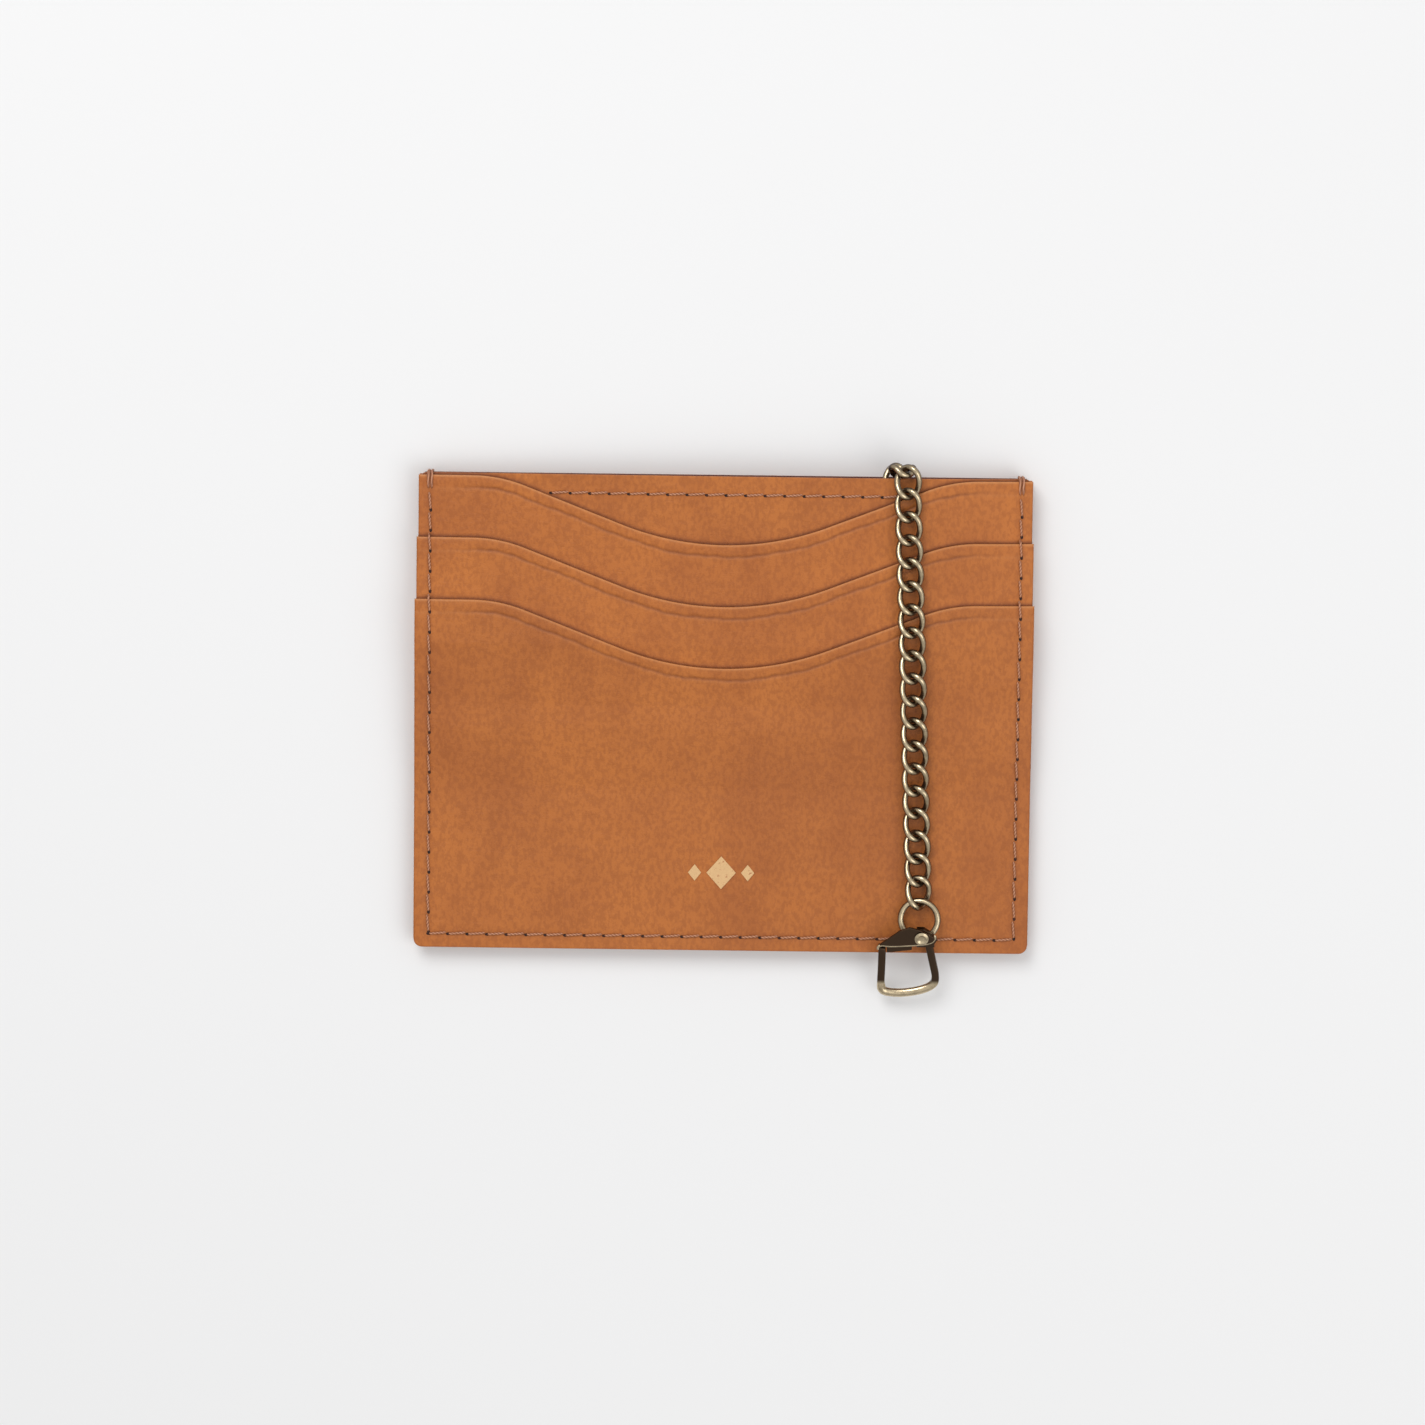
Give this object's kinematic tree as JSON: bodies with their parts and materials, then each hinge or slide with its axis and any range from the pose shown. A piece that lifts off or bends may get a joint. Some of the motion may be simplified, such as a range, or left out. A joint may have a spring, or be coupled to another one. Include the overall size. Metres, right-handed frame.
{
  "type": "card holder",
  "caption": "Flat sewn leather card holder with stepped card slots on both faces, a lined middle pocket and a short curb chain with a clasp.",
  "frame": {"origin": "middle of the back face, on the surface that the holder lies on", "axes": "+X across the holder to the right, +Y towards the pocket mouths, +Z out of the front"},
  "size_m": [0.102, 0.089, 0.0097],
  "materials": {
    "tan_leather": "smooth tan leather with a fine grain and a soft sheen",
    "lining_cloth": "thin woven dark maroon cloth",
    "thread": "twisted waxed thread, pinkish tan",
    "gold_foil": "pressed gold foil",
    "antique_brass": "antique brass, dark in the hollows",
    "spring_steel": "plain steel wire"
  },
  "bodies": {
    "holder": {"front_lining": "lining_cloth", "front_base_panel": "tan_leather", "front_upper_slot_liner": "lining_cloth", "front_upper_slot_panel": "tan_leather", "front_middle_slot_liner": "lining_cloth", "front_middle_slot_panel": "tan_leather", "front_pocket_panel": "tan_leather", "back_lining": "lining_cloth", "back_base_panel": "tan_leather", "back_upper_slot_liner": "lining_cloth", "back_upper_slot_panel": "tan_leather", "back_middle_slot_liner": "lining_cloth", "back_middle_slot_panel": "tan_leather", "back_pocket_panel": "tan_leather", "front_seam_stitches": "thread", "front_mouth_stitches": "thread", "back_seam_stitches": "thread", "back_mouth_stitches": "thread", "left_bar_tack": "thread", "right_bar_tack": "thread", "foil_ornament": "gold_foil", "anchor_tab": "tan_leather", "anchor_tab_stitches": "thread"},
    "anchor_ring_body": {"anchor_ring": "antique_brass"},
    "chain_link_01_body": {"chain_link_01": "antique_brass"},
    "chain_link_02_body": {"chain_link_02": "antique_brass"},
    "chain_link_03_body": {"chain_link_03": "antique_brass"},
    "chain_link_04_body": {"chain_link_04": "antique_brass"},
    "chain_link_05_body": {"chain_link_05": "antique_brass"},
    "chain_link_06_body": {"chain_link_06": "antique_brass"},
    "chain_link_07_body": {"chain_link_07": "antique_brass"},
    "chain_link_08_body": {"chain_link_08": "antique_brass"},
    "chain_link_09_body": {"chain_link_09": "antique_brass"},
    "chain_link_10_body": {"chain_link_10": "antique_brass"},
    "chain_link_11_body": {"chain_link_11": "antique_brass"},
    "chain_link_12_body": {"chain_link_12": "antique_brass"},
    "chain_link_13_body": {"chain_link_13": "antique_brass"},
    "chain_link_14_body": {"chain_link_14": "antique_brass"},
    "chain_link_15_body": {"chain_link_15": "antique_brass"},
    "chain_link_16_body": {"chain_link_16": "antique_brass"},
    "chain_link_17_body": {"chain_link_17": "antique_brass"},
    "chain_link_18_body": {"chain_link_18": "antique_brass"},
    "chain_link_19_body": {"chain_link_19": "antique_brass"},
    "chain_link_20_body": {"chain_link_20": "antique_brass"},
    "chain_link_21_body": {"chain_link_21": "antique_brass"},
    "clasp_ring_body": {"clasp_ring": "antique_brass"},
    "clasp_body": {"clasp_hook": "antique_brass", "clasp_rivet": "antique_brass", "clasp_spring": "spring_steel"},
    "clasp_gate_body": {"clasp_gate": "antique_brass"}
  },
  "joints": [
    {"name": "anchor_turn", "type": "hinge", "parent": "holder", "child": "anchor_ring_body", "pos_m": [0.02796, 0.03383, 0.00367], "axis": [0, 0, 1], "range_deg": [-1.5, 1.5]},
    {"name": "link_01_turn", "type": "hinge", "parent": "anchor_ring_body", "child": "chain_link_01_body", "pos_m": [0.02796, 0.03711, 0.00426], "axis": [0, 0, 1], "range_deg": [-4, 4]},
    {"name": "link_02_lift", "type": "hinge", "parent": "chain_link_01_body", "child": "chain_link_02_body", "pos_m": [0.02941, 0.04057, 0.00448], "axis": [1, 0, 0], "range_deg": [-12, 0]},
    {"name": "link_03_lift", "type": "hinge", "parent": "chain_link_02_body", "child": "chain_link_03_body", "pos_m": [0.0298, 0.04092, 0.00826], "axis": [1, 0, 0], "range_deg": [-12, 0]},
    {"name": "link_04_sway", "type": "hinge", "parent": "chain_link_03_body", "child": "chain_link_04_body", "pos_m": [0.0298, 0.03712, 0.00833], "axis": [-0.0002, 0.0055, 1], "range_deg": [-5, 5]},
    {"name": "link_05_lift", "type": "hinge", "parent": "chain_link_04_body", "child": "chain_link_05_body", "pos_m": [0.02997, 0.03332, 0.00835], "axis": [1, 0, 0], "range_deg": [-20, 0]},
    {"name": "link_06_sway", "type": "hinge", "parent": "chain_link_05_body", "child": "chain_link_06_body", "pos_m": [0.03013, 0.02953, 0.00843], "axis": [0.0001, -0.0015, 1], "range_deg": [-5, 5]},
    {"name": "link_07_lift", "type": "hinge", "parent": "chain_link_06_body", "child": "chain_link_07_body", "pos_m": [0.0303, 0.02573, 0.00843], "axis": [1, 0, 0], "range_deg": [-20, 0]},
    {"name": "link_08_sway", "type": "hinge", "parent": "chain_link_07_body", "child": "chain_link_08_body", "pos_m": [0.03046, 0.02193, 0.00842], "axis": [-0.0006, 0.0135, 0.9999], "range_deg": [-5, 5]},
    {"name": "link_09_lift", "type": "hinge", "parent": "chain_link_08_body", "child": "chain_link_09_body", "pos_m": [0.03063, 0.01814, 0.00847], "axis": [1, 0, 0], "range_deg": [-20, 0]},
    {"name": "link_10_sway", "type": "hinge", "parent": "chain_link_09_body", "child": "chain_link_10_body", "pos_m": [0.03079, 0.01434, 0.00856], "axis": [0.001, -0.0241, 0.9997], "range_deg": [-5, 5]},
    {"name": "link_11_lift", "type": "hinge", "parent": "chain_link_10_body", "child": "chain_link_11_body", "pos_m": [0.03096, 0.01055, 0.00847], "axis": [1, 0, 0], "range_deg": [-20, 0]},
    {"name": "link_12_sway", "type": "hinge", "parent": "chain_link_11_body", "child": "chain_link_12_body", "pos_m": [0.03112, 0.00676, 0.0082], "axis": [0.0062, -0.1409, 0.99], "range_deg": [-5, 5]},
    {"name": "link_13_lift", "type": "hinge", "parent": "chain_link_12_body", "child": "chain_link_13_body", "pos_m": [0.03129, 0.003, 0.00767], "axis": [1, 0, 0], "range_deg": [-20, 0]},
    {"name": "link_14_sway", "type": "hinge", "parent": "chain_link_13_body", "child": "chain_link_14_body", "pos_m": [0.03145, -0.00076, 0.00713], "axis": [0.0034, -0.0768, 0.997], "range_deg": [-5, 5]},
    {"name": "link_15_lift", "type": "hinge", "parent": "chain_link_14_body", "child": "chain_link_15_body", "pos_m": [0.03162, -0.00454, 0.00684], "axis": [1, 0, 0], "range_deg": [-20, 0]},
    {"name": "link_16_sway", "type": "hinge", "parent": "chain_link_15_body", "child": "chain_link_16_body", "pos_m": [0.03178, -0.00832, 0.00652], "axis": [0.0056, -0.129, 0.9916], "range_deg": [-5, 5]},
    {"name": "link_17_lift", "type": "hinge", "parent": "chain_link_16_body", "child": "chain_link_17_body", "pos_m": [0.03195, -0.01209, 0.00603], "axis": [1, 0, 0], "range_deg": [-20, 0]},
    {"name": "link_18_sway", "type": "hinge", "parent": "chain_link_17_body", "child": "chain_link_18_body", "pos_m": [0.03211, -0.01585, 0.00554], "axis": [0.0012, -0.0277, 0.9996], "range_deg": [-5, 5]},
    {"name": "link_19_lift", "type": "hinge", "parent": "chain_link_18_body", "child": "chain_link_19_body", "pos_m": [0.03228, -0.01965, 0.00543], "axis": [1, 0, 0], "range_deg": [-20, 0]},
    {"name": "link_20_sway", "type": "hinge", "parent": "chain_link_19_body", "child": "chain_link_20_body", "pos_m": [0.03244, -0.02344, 0.00538], "axis": [0.1378, 0.0329, 0.9899], "range_deg": [-5, 5]},
    {"name": "link_21_lift", "type": "hinge", "parent": "chain_link_20_body", "child": "chain_link_21_body", "pos_m": [0.03261, -0.02724, 0.00548], "axis": [1, 0, 0], "range_deg": [-20, 0]},
    {"name": "clasp_ring_lift", "type": "hinge", "parent": "chain_link_21_body", "child": "clasp_ring_body", "pos_m": [0.03278, -0.03103, 0.00557], "axis": [1, 0, 0], "range_deg": [-20, 0]},
    {"name": "clasp_swing", "type": "hinge", "parent": "clasp_ring_body", "child": "clasp_body", "pos_m": [0.03302, -0.03666, 0.0056], "axis": [1, 0, 0], "range_deg": [-10, 0]},
    {"name": "gate_swing", "type": "hinge", "parent": "clasp_body", "child": "clasp_gate_body", "pos_m": [0.03322, -0.03583, 0.00728], "axis": [0, -0.3746, 0.9272], "range_deg": [0, 18], "stiffness_Nm_per_rad": 0.0002}
  ]
}
